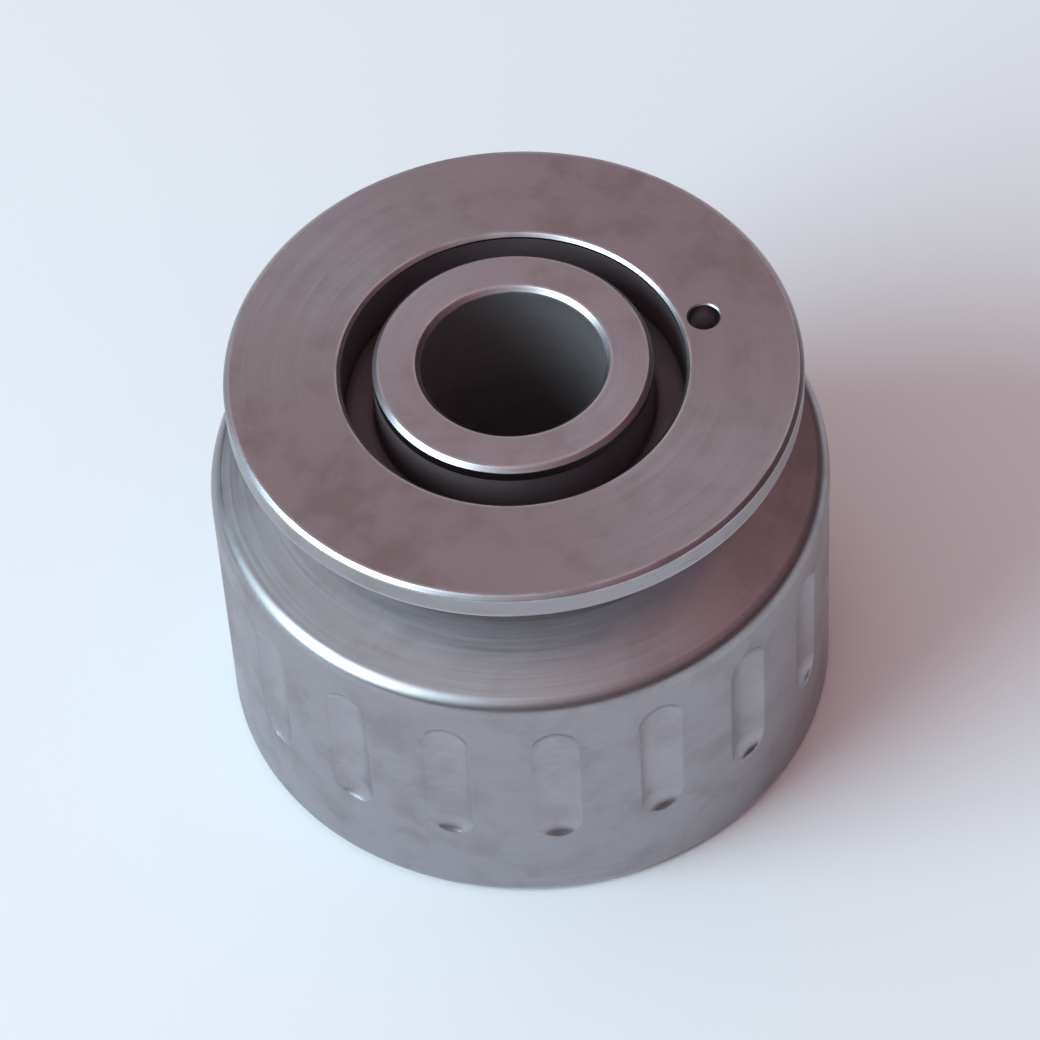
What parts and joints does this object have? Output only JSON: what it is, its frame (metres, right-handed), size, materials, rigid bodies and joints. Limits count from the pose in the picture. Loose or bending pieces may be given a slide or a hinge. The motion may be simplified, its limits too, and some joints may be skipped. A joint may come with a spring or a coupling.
{
  "type": "sewing machine pulley",
  "caption": "Squat turned metal pulley with a bored hub ring in a narrow ring recess, a flange, a V-belt groove and a drum with finger flutes.",
  "frame": {"origin": "on the bore's axis, at the back face that the pulley stands on", "axes": "+Z along the bore from the back face towards the hub ring; the index hole lies 14 degrees round from +X towards +Y"},
  "size_m": [0.0512, 0.0512, 0.0388],
  "materials": {
    "turned_steel": "satin turned steel with fine tool marks"
  },
  "bodies": {
    "root": {"pulley": "turned_steel"}
  },
  "joints": []
}
